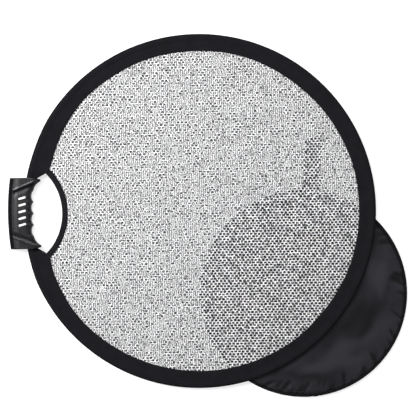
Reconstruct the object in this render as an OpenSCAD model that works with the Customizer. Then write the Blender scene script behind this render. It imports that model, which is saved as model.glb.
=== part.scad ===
// Collapsible reflector disc with a moulded hand grip, lying on its zipped storage pouch.
// All sizes are millimetres. The disc lies flat with its face up (+Z), and the grip is on -X.
// The row's origin is on the ground, under the middle of the whole object's box.

/* [Disc] */
// Outer diameter of the opened disc
disc_d = 800; // [790:5:810]
// Width of the cloth band around the rim
band_w = 38.6; // [37:0.2:40]
// Thickness of the rim where the cloth wraps the hoop
rim_t = 6; // [5.8:0.1:6.2]
// Thickness of the band's cloth
cloth_t = 0.8; // [0.6:0.1:0.8]
// Thickness of the silver net
net_t = 1; // [0.8:0.1:1]
// Diameter of the bound cord around the outer edge
edge_d = 2.4; // [2:0.2:2.4]

/* [Spring hoop] */
// Axial height of the flat spring wire
wire_h = 3.4; // [3:0.1:3.4]
// Radial thickness of the flat spring wire
wire_t = 0.9; // [0.7:0.1:1]
// Distance from the disc's outer edge to the middle of the wire
wire_inset = 7; // [6.8:0.1:7.2]
// Length of the ferrule that joins the wire's two ends
ferrule_l = 40; // [30:2:50]

/* [Hand hole] */
// Radius of the curved side of the hand hole
hole_r = 131; // [128:1:134]
// Half width of the hand hole at its two tips
hole_tip_y = 91.4; // [90:0.2:92]
// Width of the cloth tape along the hole's curved side
tape_w = 11.8; // [10:0.2:12]

/* [Grip] */
// Length of the grip along Y
grip_l = 161; // [160:0.5:163]
// Thickness of the grip at its end collars
grip_t = 30; // [30:0.5:31]
// How much thinner each face is between the collars
waist = 1.5; // [1:0.1:1.8]
// Spacing of the finger grooves
finger_pitch = 26; // [25.5:0.1:26.5]
// Thickness of the grip's wall
wall = 3; // [2.6:0.1:3.2]

/* [Pouch] */
// Outer diameter of the pouch
pouch_d = 470; // [466:1:474]
// Height of the empty pouch
pouch_h = 11.2; // [10.8:0.1:11.4]
// Angle around the pouch where the closed slider sits
zip_start = 51; // [49:1:54]
// Angle around the pouch where the zip ends
zip_end = -83; // [-88:1:-80]
// Width of the strap's webbing
strap_w = 39; // [36:1:42]
// Length of the folded strap
strap_l = 122; // [110:1:135]

/* [Hidden] */

$fn = 96;
cut = 1;            // how far a cutter runs past what it cuts
gap = 0.3;          // clearance between pieces that move apart
far = 1000;         // a length beyond the whole object

// Disc
disc_r = disc_d / 2;
mid_z = grip_t / 2;                 // height of the disc's middle plane
cloth_z = net_t / 2 + cloth_t;      // height of the flat cloth's face over the middle plane
band_in_r = disc_r - band_w;
cloth_r = disc_r - edge_d;          // where the band's cloth meets the edge cord
wire_r = disc_r - wire_inset;
net_tuck = 8;                       // how far the net runs in under the band
ferrule_half_h = rim_t / 2 - cloth_t - 0.05;
ferrule_wall = 0.9;
rivet_a = 1.75;                     // angle from the joint of the wire's ends to each rivet
rivet_r = 0.8;
rivet_head = [1.4, 0.3];            // radius and height
// The band widens towards the grip: a second, larger and shifted circle bounds the net there
wide_x = 34.3;
wide_r = band_in_r + 25;

// Hand hole, placed from the grip
hole_x = -disc_r - 38.7;
slant_x = -disc_r + 55;             // X of the hole's tips
slant_slope = 0.552;                // rise of the hole's two short edges per millimetre of X
seam_w = 0.8;
seam_t = 0.3;

// Grip outline
grip_half = grip_l / 2;
back_x = -disc_r - 31.5;            // the back of the grip at its middle
back_end_x = -disc_r - 26;          // the back of the grip at its ends
cusp_x = -disc_r + 26;              // tips of the ridges between the fingers
horn_x = -disc_r + 42.4;            // tips of the two horns
groove_r = 17.7;
groove_x = -disc_r + 38;
end_groove_r = 30;
end_groove_x = -disc_r + 55;
end_groove_y = finger_pitch * 1.73;
side_r = grip_t / 2 - waist;        // half thickness between the collars
collar_r = grip_t / 2;              // half thickness at the collars
slot_depth = 8;                     // how far the rim goes into each end of the grip
cavity_x = [-disc_r - 24, -disc_r + 16.5];
cavity_half = grip_half - slot_depth - 2.5;
cavity_z = [4, mid_z * 2 - 4.5];
screw_x = -disc_r - 14;
screw_ys = [-57, -20, 20, 57];
boss_r = 4;
shank_r = 1.5;
screw_head_r = 3;
clamp_x = [-disc_r - 2, -disc_r + 16.2];
clamp_half = cavity_half - 2;
mark_at = [-disc_r + 2.8, 4.6];
mark_count = 5;
mark_pitch = 15;
mark_t = 0.3;

// Pouch
pouch_r = pouch_d / 2;
pouch_x = 234.4;
pouch_y = -190.2;
panel_r = pouch_r - 6.5;
binding_r = [panel_r, pouch_r - 1];
low_top = 5;                        // top of the bottom panel
high_base = 5.6;                    // underside of the top panel
high_edge = 9;                      // top of the top panel at its thinner edge
binding_t = 1.8;
low_edge = 1.7;                     // underside of the bottom binding
high_bind_z = 7.3;                  // underside of the top binding
low_bind_top = low_edge + binding_t;
tape_r = pouch_r - 1.5;
tape_z = [low_bind_top, 4.1, 6.5, high_bind_z];     // lower zip tape, then upper zip tape
coil_r = pouch_r - 3;
zip_z = 5.3;                        // height where the two zip coils meet
zip_stop_a = zip_start + 2;         // where the zip's closed end stops
stitch_r = panel_r - 6.1;           // middle of the seam around the top panel
slider_half_a = 1.7;                // half of the angle that the slider takes up
slider_r = [pouch_r + gap, pouch_r + 4];
slider_z = [0.6, 10.4];
wing_t = 0.8;
wing_r = pouch_r - 4;
lug_z = [1.6, 7.9];                 // undersides of the two lugs that hold the pull tab's pin
lug_t = 1.4;
lug_r = 2;
bail_r = pouch_r + 7;
pin_r = 0.9;
pin_z = 2.2;
pin_l = 6.2;
tab_l = 27;
tab_z = 3.3;
tab_h = 4.3;
tab_half_t = 0.8;
tab_eye_r = 2.3;
tab_slot = [6, 1.5];                // length and height of the slot near the tab's tip
strap_a = 85.2;                     // angle around the pouch where the strap is sewn on
strap_lean = -4.5;
strap_t = 1.4;
strap_gap = 0.6;
anchor_reach = 14;                  // how far the tab holds the strap beyond the pouch's edge
anchor_z = [3.9, 7.2];

// The row's origin, worked out from the object's own box
centre_x = (back_x + pouch_x + pouch_r) / 2;
centre_y = (disc_r + pouch_y - pouch_r) / 2;

module in_row_frame() { translate([-centre_x, -centre_y, 0]) children(); }

module at_pouch() { in_row_frame() translate([pouch_x, pouch_y, 0]) children(); }

// A block between two corners
module block(low, high) { translate(low) cube(high - low); }

// A ring, or part of one between two angles, between two radii and two heights
module ring(r_in, r_out, z_low, z_high, from = 0, to = 360) {
    rotate([0, 0, from])
        rotate_extrude(angle = to - from, $fn = 240)
            translate([r_in, z_low]) square([r_out - r_in, z_high - z_low]);
}

// The visible net's outline, grown by a margin
module net_outline(margin) {
    intersection() {
        circle(r = band_in_r + margin, $fn = 240);
        translate([wide_x, 0]) circle(r = wide_r + margin, $fn = 240);
    }
}

// The hand hole's outline, shrunk by an inset
module hole_outline(inset = 0) {
    in_y = inset * 1.14;            // the inset measured along Y across a slanted edge
    left = -disc_r + 8;
    right = -disc_r + 100;
    edge_y = [for (x = [left, right]) hole_tip_y + slant_slope * (x - slant_x) - in_y];
    intersection() {
        translate([hole_x, 0]) circle(r = hole_r - inset);
        polygon([[left, edge_y[0]], [right, edge_y[1]], [right, -edge_y[1]], [left, -edge_y[0]]]);
    }
}

// What the rim's pieces leave free: the hand hole, and the inside of the grip
module rim_cutter() {
    linear_extrude(far, center = true) hole_outline();
    block([-far, slot_depth - grip_half, -far], [-disc_r + 60, grip_half - slot_depth, far]);
}

// Cross-section of the band's upper half beside the middle plane, as radius and height
module band_section() {
    ramp_in = [wire_r - 9, wire_r - 4];
    ramp_out = wire_r + 3.2;
    flat_z = net_t / 2;
    top_z = rim_t / 2;
    polygon([
        [band_in_r, flat_z], [band_in_r, cloth_z], [ramp_in[0], cloth_z],
        [ramp_in[1], top_z], [ramp_out, top_z], [cloth_r, cloth_t + 0.4], [cloth_r, 0.1],
        [cloth_r - cloth_t, 0.1], [ramp_out - cloth_t, top_z - cloth_t],
        [ramp_in[1] + cloth_t / 2, top_z - cloth_t], [ramp_in[0] + cloth_t / 2, flat_z]
    ]);
}

// One face of the rim band, in its own frame with the middle plane at z = 0
module rim_band() {
    difference() {
        union() {
            rotate_extrude($fn = 240) band_section();
            translate([0, 0, net_t / 2]) linear_extrude(cloth_t) difference() {
                circle(r = band_in_r + cut, $fn = 240);
                net_outline(0);
            }
        }
        rim_cutter();
    }
}

// The disc's own frame, turned over for the back face
module on_face(side) {
    in_row_frame() translate([0, 0, mid_z]) mirror([0, 0, side < 0 ? 1 : 0]) children();
}

module rim_band_front() { color("#222126") on_face(1) rim_band(); }

module rim_band_back() { color("#222126") on_face(-1) rim_band(); }

module rim_edge_cord() {
    color("#16151a") in_row_frame() translate([0, 0, mid_z]) difference() {
        rotate_extrude($fn = 240) translate([disc_r - edge_d / 2, 0]) circle(r = edge_d / 2, $fn = 24);
        rim_cutter();
    }
}

// A seam's thread along the rim, on the cloth at the given height above the middle plane
module rim_seam(r, z) {
    difference() {
        ring(r - seam_w / 2, r + seam_w / 2, z, z + seam_t);
        rim_cutter();
    }
}

module inner_seam_front() { color("#2c2b31") on_face(1) rim_seam(band_in_r + 4, cloth_z); }

module inner_seam_back() { color("#2c2b31") on_face(-1) rim_seam(band_in_r + 4, cloth_z); }

module hoop_seam_front() { color("#2c2b31") on_face(1) rim_seam(wire_r - 12, cloth_z); }

module hoop_seam_back() { color("#2c2b31") on_face(-1) rim_seam(wire_r - 12, cloth_z); }

// Bores for the two rivets, or the rivets' shanks, through the joined ends of the wire
module at_rivets() {
    for (side = [-1, 1])
        rotate([0, 0, side * rivet_a]) translate([wire_r, 0, 0]) rotate([0, 90, 0]) children();
}

module spring_hoop() {
    color("#8d9096") in_row_frame() translate([0, 0, mid_z]) difference() {
        ring(wire_r - wire_t / 2, wire_r + wire_t / 2, -wire_h / 2, wire_h / 2);
        block([wire_r - 4, -0.3, -wire_h], [wire_r + 4, 0.3, wire_h]);
        at_rivets() cylinder(r = rivet_r + 0.05, h = 6, center = true, $fn = 32);
    }
}

module splice_ferrule() {
    half_a = ferrule_l / 2 / wire_r * 180 / PI;
    side_t = wire_t / 2 + ferrule_wall;
    color("#a9abb0") in_row_frame() translate([0, 0, mid_z]) difference() {
        ring(wire_r - side_t, wire_r + side_t, -ferrule_half_h, ferrule_half_h, -half_a, half_a);
        ring(wire_r - wire_t / 2 - 0.05, wire_r + wire_t / 2 + 0.05, -wire_h / 2 - 0.05, wire_h / 2 + 0.05);
        at_rivets() cylinder(r = rivet_r + 0.05, h = 8, center = true, $fn = 32);
    }
}

module ferrule_rivets() {
    reach = wire_t / 2 + ferrule_wall + 0.05;
    head_at = reach + rivet_head[1] / 2;
    color("#c9cbd0") in_row_frame() translate([0, 0, mid_z]) at_rivets() {
        cylinder(r = rivet_r, h = head_at * 2, center = true, $fn = 32);
        for (end = [-1, 1])
            translate([0, 0, end * head_at])
                cylinder(r = rivet_head[0], h = rivet_head[1], center = true, $fn = 32);
    }
}

module silver_net() {
    color("#d9dade") in_row_frame() translate([0, 0, mid_z - net_t / 2]) linear_extrude(net_t) difference() {
        net_outline(net_tuck);
        translate([hole_x, 0]) circle(r = hole_r + 2, $fn = 240);
        translate([-far - disc_r + 60, -grip_half]) square([far, grip_l]);
    }
}

module hand_hole_tape() {
    translate([0, 0, net_t / 2]) linear_extrude(cloth_t) intersection() {
        net_outline(0);
        difference() {
            translate([hole_x, 0]) circle(r = hole_r + tape_w, $fn = 240);
            translate([hole_x, 0]) circle(r = hole_r, $fn = 240);
        }
    }
}

module hand_hole_tape_front() { color("#1f1e23") on_face(1) hand_hole_tape(); }

module hand_hole_tape_back() { color("#1f1e23") on_face(-1) hand_hole_tape(); }

// The bound edge all along the hand hole, stopping short of the grip
module hand_hole_binding() {
    height = net_t + cloth_t * 2 + 0.4;
    color("#16151a") in_row_frame() translate([0, 0, mid_z - height / 2]) linear_extrude(height)
        difference() {
            hole_outline(0.1);
            hole_outline(1.4);
            translate([-far - disc_r + 35, -far / 2]) square([far, far]);
        }
}

// Dense stitched bars that lock the two tips of the hand hole, on both faces
module hand_hole_bartacks() {
    color("#34333a") for (face = [-1, 1]) on_face(face)
        for (side = [-1, 1])
            translate([slant_x + 4, side * (hole_tip_y + 6), cloth_z])
                rotate([0, 0, side * 60])
                    translate([-6, -1.5, 0]) cube([12, 3, 0.4]);
}

// Outline of the grip seen from the front, with its finger grooves and its two horns
module grip_outline() {
    sag = back_end_x - back_x;
    back_r = (grip_half * grip_half + sag * sag) / (2 * sag);
    intersection() {
        translate([back_x + back_r, 0]) circle(r = back_r, $fn = 360);
        difference() {
            polygon([
                [back_x - cut, grip_half], [-disc_r + 30, grip_half], [horn_x, grip_half - 4],
                [horn_x, 4 - grip_half], [-disc_r + 30, -grip_half], [back_x - cut, -grip_half]
            ]);
            for (side = [-1, 1]) {
                for (at = [0.5, 1.5]) translate([groove_x, side * at * finger_pitch]) circle(r = groove_r);
                translate([end_groove_x, side * end_groove_y]) circle(r = end_groove_r);
            }
        }
    }
}

// Outline of one end collar, which ends along a slanting crease
module collar_outline() {
    polygon([
        [back_x - 5, grip_half + 5], [horn_x + 5, grip_half + 5], [horn_x + 5, grip_half - 8],
        [-disc_r + 25, grip_half - 13.5], [-disc_r - 15.5, grip_half - 30.3], [back_x - 5, grip_half - 30.3]
    ]);
}

// Points along part of an ellipse
function arc_points(cx, cy, rx, ry, from, to, steps = 5) =
    [for (i = [0 : steps]) let (a = from + (to - from) * i / steps) [cx + rx * cos(a), cy + ry * sin(a)]];

// Rounded cross-section of the grip as X and height, with a thinner edge out to the horns
module grip_section(r) {
    rx = 15;
    rz = r * 0.9;
    wider = r - side_r;
    left = back_x - 0.3 - wider + rx;
    right = cusp_x + 4 + wider - rx;
    high = mid_z + r - rz;
    low = mid_z - r + rz;
    polygon(concat(
        arc_points(left, high, rx, rz, 180, 90),
        arc_points(right, high, rx, rz, 90, 20),
        [[horn_x + 2, mid_z + r * 0.4], [horn_x + 2, mid_z - r * 0.4]],
        arc_points(right, low, rx, rz, -20, -90),
        arc_points(left, low, rx, rz, -90, -180)
    ));
}

module along_grip(r) {
    rotate([90, 0, 0]) linear_extrude(grip_l + 2 * cut, center = true) grip_section(r);
}

// The grip between two heights: a slimmer middle, and a thicker collar at each end
module grip_solid(z_low, z_high) {
    intersection() {
        translate([0, 0, z_low]) linear_extrude(z_high - z_low) grip_outline();
        union() {
            along_grip(side_r);
            for (side = [0, 1]) mirror([0, side, 0]) intersection() {
                translate([0, 0, -cut]) linear_extrude(grip_t + 2 * cut) collar_outline();
                along_grip(collar_r);
            }
        }
    }
}

// Everything that the grip's shells leave free for the rim and the hoop
module rim_passage() {
    for (side = [-1, 1])
        translate([0, side * (grip_half - slot_depth / 2 + 0.4), mid_z])
            block([-disc_r + 5.4, -slot_depth / 2 - cut, -rim_t / 2 - gap],
                  [-disc_r + 35.6, slot_depth / 2 + cut, rim_t / 2 + gap]);
    wire_passage();
}

module wire_passage() {
    translate([0, 0, mid_z]) intersection() {
        ring(wire_r - wire_t / 2 - gap, wire_r + wire_t / 2 + gap, -wire_h / 2 - gap, wire_h / 2 + gap);
        block([-far, -grip_half, -far], [0, grip_half, far]);
    }
}

module grip_cavity() {
    block([cavity_x[0], -cavity_half, cavity_z[0]], [cavity_x[1], cavity_half, cavity_z[1]]);
}

module at_screws() { for (y = screw_ys) translate([screw_x, y, 0]) children(); }

// One shell's wall, and the bosses that the screws go through
module grip_shell_solid(z_low, z_high) {
    difference() {
        grip_solid(z_low, z_high);
        difference() {
            grip_cavity();
            at_screws() cylinder(r = boss_r, h = grip_t);
        }
        rim_passage();
    }
}

module grip_front_shell() {
    color("#34343a") in_row_frame() difference() {
        grip_shell_solid(mid_z, grip_t);
        at_screws() cylinder(r = shank_r + 0.05, h = grip_t - 5, $fn = 48);
    }
}

module grip_back_shell() {
    color("#2e2e34") in_row_frame() difference() {
        grip_shell_solid(0, mid_z);
        at_screws() {
            translate([0, 0, -cut]) cylinder(r = shank_r + 0.2, h = grip_t, $fn = 48);
            translate([0, 0, -cut]) cylinder(r = screw_head_r + 0.3, h = 5 + cut, $fn = 48);
        }
    }
}

// One of the two bars that hold the hoop inside the grip
module hoop_clamp(z_low, z_high) {
    color("#4a4a50") in_row_frame() difference() {
        block([clamp_x[0], -clamp_half, z_low], [clamp_x[1], clamp_half, z_high]);
        wire_passage();
    }
}

module hoop_clamp_front() { hoop_clamp(mid_z + 0.1, cavity_z[1] - 0.1); }

module hoop_clamp_back() { hoop_clamp(cavity_z[0] + 0.1, mid_z - 0.1); }

module grip_screws() {
    head_z = 2.8;
    head_h = 2.2;
    color("#b4b6ba") in_row_frame() at_screws() difference() {
        union() {
            translate([0, 0, head_z]) cylinder(r = screw_head_r, h = head_h, $fn = 48);
            translate([0, 0, head_z]) cylinder(r = shank_r, h = 20, $fn = 48);
        }
        for (turn = [0, 90]) rotate([0, 0, turn])
            translate([-1.8, -0.4, head_z - cut]) cube([3.6, 0.8, cut + 1.2]);
    }
}

// A plain generic mark: five slanting bars printed on the grip
module grip_mark() {
    color("white") in_row_frame() for (i = [0 : mark_count - 1])
        translate([mark_at[0], mark_at[1] + (i - (mark_count - 1) / 2) * mark_pitch, grip_t - waist])
            linear_extrude(mark_t) polygon([[-9, -5], [9, 0], [9, 5], [-9, 0]]);
}

// Cross-section of a pouch panel, thinner at its edge
module panel_section(base_z, top_z, edge_low, edge_high) {
    slope = 5;
    polygon([
        [0, base_z], [base_z < edge_low ? panel_r - slope : panel_r, base_z], [panel_r, edge_low],
        [panel_r, edge_high], [top_z > edge_high ? panel_r - slope : panel_r, top_z], [0, top_z]
    ]);
}

module pouch_top_panel() {
    color("#2b2a30") at_pouch() rotate_extrude($fn = 240)
        panel_section(high_base, pouch_h, high_base, high_edge);
}

module pouch_bottom_panel() {
    color("#232227") at_pouch() rotate_extrude($fn = 240) panel_section(0, low_top, low_edge, low_top);
}

module pouch_top_binding() {
    color("#26252a") at_pouch() ring(binding_r[0], binding_r[1], high_bind_z, high_bind_z + binding_t);
}

module pouch_bottom_binding() {
    color("#1d1c20") at_pouch() ring(binding_r[0], binding_r[1], low_edge, low_bind_top);
}

// The wall that joins the panels where there is no zip
module pouch_gusset() {
    color("#232227") at_pouch()
        ring(panel_r, pouch_r, low_bind_top, high_bind_z, zip_start + 4, zip_end - 2 + 360);
}

// A piece of the zip between two radii and two heights, over the zip's whole length
module zip_arc(r_in, r_out, z_low, z_high) {
    at_pouch() ring(r_in, r_out, z_low, z_high, zip_end, zip_stop_a);
}

module zip_tape_upper() { color("#1b1a1e") zip_arc(panel_r, tape_r, tape_z[2], tape_z[3]); }

module zip_tape_lower() { color("#1b1a1e") zip_arc(panel_r, tape_r, tape_z[0], tape_z[1]); }

module zip_coil_upper() { color("#323137") zip_arc(coil_r, pouch_r, zip_z, tape_z[2]); }

module zip_coil_lower() { color("#323137") zip_arc(coil_r, pouch_r, tape_z[1], zip_z); }

module zip_end_stops() {
    color("#55555b") at_pouch() for (span = [[zip_stop_a, zip_stop_a + 1.2], [zip_end - 2, zip_end]])
        ring(panel_r, pouch_r, low_bind_top, high_bind_z, span[0], span[1]);
}

module pouch_seam() {
    color("#3a393f") at_pouch()
        ring(stitch_r - seam_w / 2, stitch_r + seam_w / 2, pouch_h, pouch_h + seam_t);
}

// The short tab that holds both ends of the strap against the pouch's edge
module strap_anchor_tab() {
    half_w = strap_w / 2 + 2;
    out_r = pouch_r + anchor_reach;
    color("#1f1e22") at_pouch() intersection() {
        difference() {
            rotate([0, 0, strap_a]) block([pouch_r - 4, -half_w, anchor_z[0]], [out_r, half_w, anchor_z[1]]);
            translate([0, 0, -cut]) cylinder(r = pouch_r, h = pouch_h * 2, $fn = 240);
        }
        cylinder(r = out_r, h = pouch_h, $fn = 240);
    }
}

// A webbing loop folded flat on itself
module strap_webbing() {
    fold_r = strap_t + strap_gap / 2;
    color("#1c1b1f") at_pouch() difference() {
        rotate([0, 0, 90 + strap_lean]) translate([pouch_r - 6, strap_shift(), 0])
            rotate([90, 0, 0]) linear_extrude(strap_w, center = true) difference() {
                union() {
                    square([strap_l, 2 * fold_r]);
                    translate([strap_l, fold_r]) circle(r = fold_r, $fn = 32);
                }
                translate([-cut, strap_t]) square([strap_l + cut, strap_gap]);
                translate([strap_l, fold_r]) circle(r = strap_gap / 2, $fn = 32);
            }
        translate([0, 0, -cut]) cylinder(r = pouch_r + gap, h = pouch_h * 2, $fn = 240);
    }
}

// Sideways shift that puts the strap's root at its own angle around the pouch
function strap_shift() = pouch_r * sin(strap_a - 90 - strap_lean);

module at_slider() { at_pouch() rotate([0, 0, zip_start]) children(); }

module zip_slider() {
    half_a = slider_half_a;
    color("#8b8d92") at_slider() {
        ring(slider_r[0], slider_r[1], slider_z[0], slider_z[1], -half_a, half_a);
        for (z = [slider_z[0], slider_z[1] - wing_t - 0.1])
            ring(wing_r, slider_r[1], z, z + wing_t, -half_a, half_a);
        for (z = lug_z) {
            block([slider_r[1] - 1, -lug_t, z], [bail_r, lug_t, z + lug_t]);
            translate([bail_r, 0, z]) cylinder(r = lug_r, h = lug_t, $fn = 48);
        }
        translate([bail_r, 0, pin_z]) cylinder(r = pin_r, h = pin_l, $fn = 48);
    }
}

module zip_pull_tab() {
    slot_end = tab_l - 3;
    slot_z = (tab_h - tab_slot[1]) / 2;
    color("#77797e") at_slider() translate([bail_r, 0, tab_z]) difference() {
        union() {
            cylinder(r = tab_eye_r, h = tab_h, $fn = 48);
            block([-tab_half_t, 0, 0], [tab_half_t, tab_l, tab_h]);
        }
        translate([0, 0, -cut]) cylinder(r = pin_r + 0.05, h = tab_h + 2 * cut, $fn = 48);
        block([-cut, slot_end - tab_slot[0], slot_z], [cut, slot_end, slot_z + tab_slot[1]]);
    }
}

spring_hoop();
splice_ferrule();
ferrule_rivets();
silver_net();
rim_band_front();
rim_band_back();
rim_edge_cord();
inner_seam_front();
inner_seam_back();
hoop_seam_front();
hoop_seam_back();
hand_hole_tape_front();
hand_hole_tape_back();
hand_hole_binding();
hand_hole_bartacks();
grip_front_shell();
grip_back_shell();
hoop_clamp_front();
hoop_clamp_back();
grip_screws();
grip_mark();
pouch_top_panel();
pouch_bottom_panel();
pouch_top_binding();
pouch_bottom_binding();
pouch_gusset();
zip_tape_upper();
zip_tape_lower();
zip_coil_upper();
zip_coil_lower();
zip_end_stops();
pouch_seam();
strap_anchor_tab();
strap_webbing();
zip_slider();
zip_pull_tab();
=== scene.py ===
import math

import bmesh
import bpy
import numpy as np
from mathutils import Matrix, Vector, noise


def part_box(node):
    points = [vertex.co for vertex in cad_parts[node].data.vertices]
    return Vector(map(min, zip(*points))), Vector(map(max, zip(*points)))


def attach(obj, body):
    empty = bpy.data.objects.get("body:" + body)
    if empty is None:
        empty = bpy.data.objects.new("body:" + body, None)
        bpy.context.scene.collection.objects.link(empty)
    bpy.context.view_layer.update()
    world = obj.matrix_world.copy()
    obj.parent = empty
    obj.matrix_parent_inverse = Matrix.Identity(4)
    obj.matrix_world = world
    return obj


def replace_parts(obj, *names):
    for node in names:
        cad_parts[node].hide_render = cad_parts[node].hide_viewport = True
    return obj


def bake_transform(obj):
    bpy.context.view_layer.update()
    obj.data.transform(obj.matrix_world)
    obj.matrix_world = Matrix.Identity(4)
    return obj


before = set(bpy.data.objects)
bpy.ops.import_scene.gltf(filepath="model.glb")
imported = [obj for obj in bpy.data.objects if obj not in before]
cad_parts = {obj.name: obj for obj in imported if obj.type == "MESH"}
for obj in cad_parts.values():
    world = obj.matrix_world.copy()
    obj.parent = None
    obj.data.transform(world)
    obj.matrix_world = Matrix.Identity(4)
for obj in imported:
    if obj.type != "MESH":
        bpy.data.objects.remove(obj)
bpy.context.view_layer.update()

MM = 0.001
SEED = 7

# ---- sizes and places, in metres

cord_low, cord_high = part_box("rim_edge_cord")
DISC_R = (cord_high.y - cord_low.y) / 2
DISC = Vector((cord_high.x - DISC_R, (cord_low.y + cord_high.y) / 2, (cord_low.z + cord_high.z) / 2))
CORD_R = (cord_high.z - cord_low.z) / 2
band_low, band_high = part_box("rim_band_front")
CLOTH_R = (band_high.y - band_low.y) / 2  # where the band meets the edge cord
RIM_TOP = band_high.z - DISC.z  # half thickness of the rim over the hoop
NET_LOW, NET_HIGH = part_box("silver_net")
NET_HALF = (NET_HIGH.z - NET_LOW.z) / 2
CELL_W, CELL_H = 8.7 * MM, 5.9 * MM  # one cell of the net's knit
TAPE_LOW, TAPE_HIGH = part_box("hand_hole_tape_front")
CLOTH_T = TAPE_HIGH.z - TAPE_LOW.z
WIRE_LOW, WIRE_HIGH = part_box("spring_hoop")
WIRE_HALF_H = (WIRE_HIGH.z - WIRE_LOW.z) / 2
WIRE_HALF_W = 0.45 * MM
WIRE_R = (WIRE_HIGH.y - WIRE_LOW.y) / 2 - WIRE_HALF_W
BAND_W = 38.6 * MM
OPEN_R = DISC_R - BAND_W  # the visible net's radius
WIDE_X = 34.3 * MM  # the shifted circle that widens the band by the grip
WIDE_R = OPEN_R + 25 * MM
HOLE_X = -DISC_R - 38.7 * MM  # centre of the hand hole's curved side, from the disc's
HOLE_R = 131 * MM
HOLE = Vector((DISC.x + HOLE_X, DISC.y, 0))
TAPE_W = TAPE_HIGH.x - DISC.x - HOLE_X - HOLE_R
TIP_X = -DISC_R + 55 * MM  # tips of the hand hole
TIP_Y = 91.4 * MM
SLANT = 0.552  # slope of the hole's two short edges
EASE = 3.2 * MM  # how far the rim bows in towards the disc at the grip
GRIP_LOW, GRIP_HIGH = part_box("grip_front_shell")
GRIP_HALF = (GRIP_HIGH.y - GRIP_LOW.y) / 2
SLOT_Y = GRIP_HALF - 8 * MM  # where the rim ends inside the grip
POUCH_LOW, POUCH_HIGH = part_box("pouch_top_binding")
POUCH = (POUCH_LOW + POUCH_HIGH) / 2
BINDING_R = (POUCH_HIGH.x - POUCH_LOW.x) / 2
PANEL_LOW, PANEL_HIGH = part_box("pouch_top_panel")
PANEL_R = (PANEL_HIGH.x - PANEL_LOW.x) / 2
BASE_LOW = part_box("pouch_bottom_panel")[0]
POUCH_R = BINDING_R + 1 * MM
BINDING_Z = {"top": 8.25 * MM, "bottom": 2.5 * MM}
ZIP_TAPE_Z = {"upper": 6.9 * MM, "lower": 3.8 * MM}
ZIP_COIL_Z = {"upper": 5.9 * MM, "lower": 4.7 * MM}
STITCH_TOP = 11.6 * MM  # the highest that the pouch's seam may stand
ZIP_FROM, ZIP_TO = -83, 53  # degrees around the pouch
ROLL = math.radians(0.84)  # how far the photographed disc is turned
BEND_START = DISC.copy()

# ---- camera, light and floor


def add_camera():
    """Straight above the disc, turned by the small roll of the photograph."""
    lens = 100
    sensor = 36
    view_w = 0.9439  # width of the view at the disc
    off = Vector((22.66, 4.07, 0)) * MM  # the view's middle, from the disc's
    data = bpy.data.cameras.new("camera")
    data.lens = lens
    data.sensor_width = sensor
    data.clip_end = 50
    camera = bpy.data.objects.new("camera", data)
    camera.location = DISC + off + Vector((0, 0, view_w * lens / sensor))
    camera.rotation_euler = (0, 0, -ROLL)
    bpy.context.scene.collection.objects.link(camera)
    bpy.context.scene.camera = camera


def add_area(name, place, target, size, power):
    """A rectangular softbox at a place, turned to a target."""
    data = bpy.data.lights.new(name, "AREA")
    data.shape = "RECTANGLE"
    data.size, data.size_y = size
    data.energy = power
    light = bpy.data.objects.new(name, data)
    light.location = place
    light.rotation_euler = (Vector(target) - Vector(place)).to_track_quat("-Z", "Y").to_euler()
    bpy.context.scene.collection.objects.link(light)


def add_light():
    """A pale room and six softboxes: the key up and to the left, and five weaker ones around it."""
    world = bpy.data.worlds.new("world")
    bpy.context.scene.world = world
    world.use_nodes = True
    nodes, links = world.node_tree.nodes, world.node_tree.links
    split = nodes.new("ShaderNodeSeparateXYZ")
    links.new(nodes.new("ShaderNodeTexCoord").outputs["Generated"], split.inputs[0])
    sky = ramp(nodes, links, split.outputs["Z"], [(0.0, (0.2, 0.203, 0.21)), (0.55, (0.26, 0.263, 0.27)),
                                                  (0.86, (0.36, 0.363, 0.37)), (1.0, (0.3, 0.303, 0.31))])
    links.new(sky, nodes["Background"].inputs["Color"])
    nodes["Background"].inputs["Strength"].default_value = 1.0
    add_area("key_softbox", (-2.35, 0.9, 2.1), (0, 0, 0), (1.0, 1.0), 76)
    add_area("back_softbox", (0.9, 2.3, 1.9), (0, 0, 0), (1.6, 0.8), 32)
    add_area("sheen_softbox", (-0.9, 1.0, 2.4), (0, 0, 0), (0.6, 0.6), 17)
    add_area("left_softbox", (-2.3, 0.0, 1.2), (-0.4, 0, 0), (0.4, 2.4), 10)
    add_area("right_softbox", (2.3, -0.4, 1.7), (0, 0, 0), (0.5, 2.4), 7)
    add_area("front_softbox", (0.3, -2.5, 2.2), (0, 0, 0), (2.6, 0.6), 7)
    scene = bpy.context.scene
    scene.view_settings.view_transform = "Standard"
    scene.view_settings.look = "None"


def add_floor():
    """A translucent white sheet, lit a little from below."""
    bpy.ops.mesh.primitive_plane_add(size=60, location=(0, 0, 0))
    floor = bpy.context.object
    floor.name = "floor"
    mat, _, _, shader = new_material("floor_paper")
    shader.inputs["Base Color"].default_value = (0.66, 0.66, 0.66, 1)
    shader.inputs["Roughness"].default_value = 0.9
    shader.inputs["Specular IOR Level"].default_value = 0.1
    shader.inputs["Emission Color"].default_value = (1, 1, 1, 1)
    shader.inputs["Emission Strength"].default_value = 0.62
    floor.data.materials.append(mat)


# ---- materials


def new_material(name):
    """A material with its nodes, links and shader."""
    mat = bpy.data.materials.new(name)
    mat.use_nodes = True
    nodes, links = mat.node_tree.nodes, mat.node_tree.links
    return mat, nodes, links, nodes["Principled BSDF"]


def coords(nodes, links, scale=(1, 1, 1), turn=0.0):
    """Object coordinates in metres, scaled and turned about Z."""
    place = nodes.new("ShaderNodeTexCoord")
    mapping = nodes.new("ShaderNodeMapping")
    mapping.inputs["Scale"].default_value = scale
    mapping.inputs["Rotation"].default_value = (0, 0, turn)
    links.new(place.outputs["Object"], mapping.inputs["Vector"])
    return mapping.outputs["Vector"]


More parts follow.
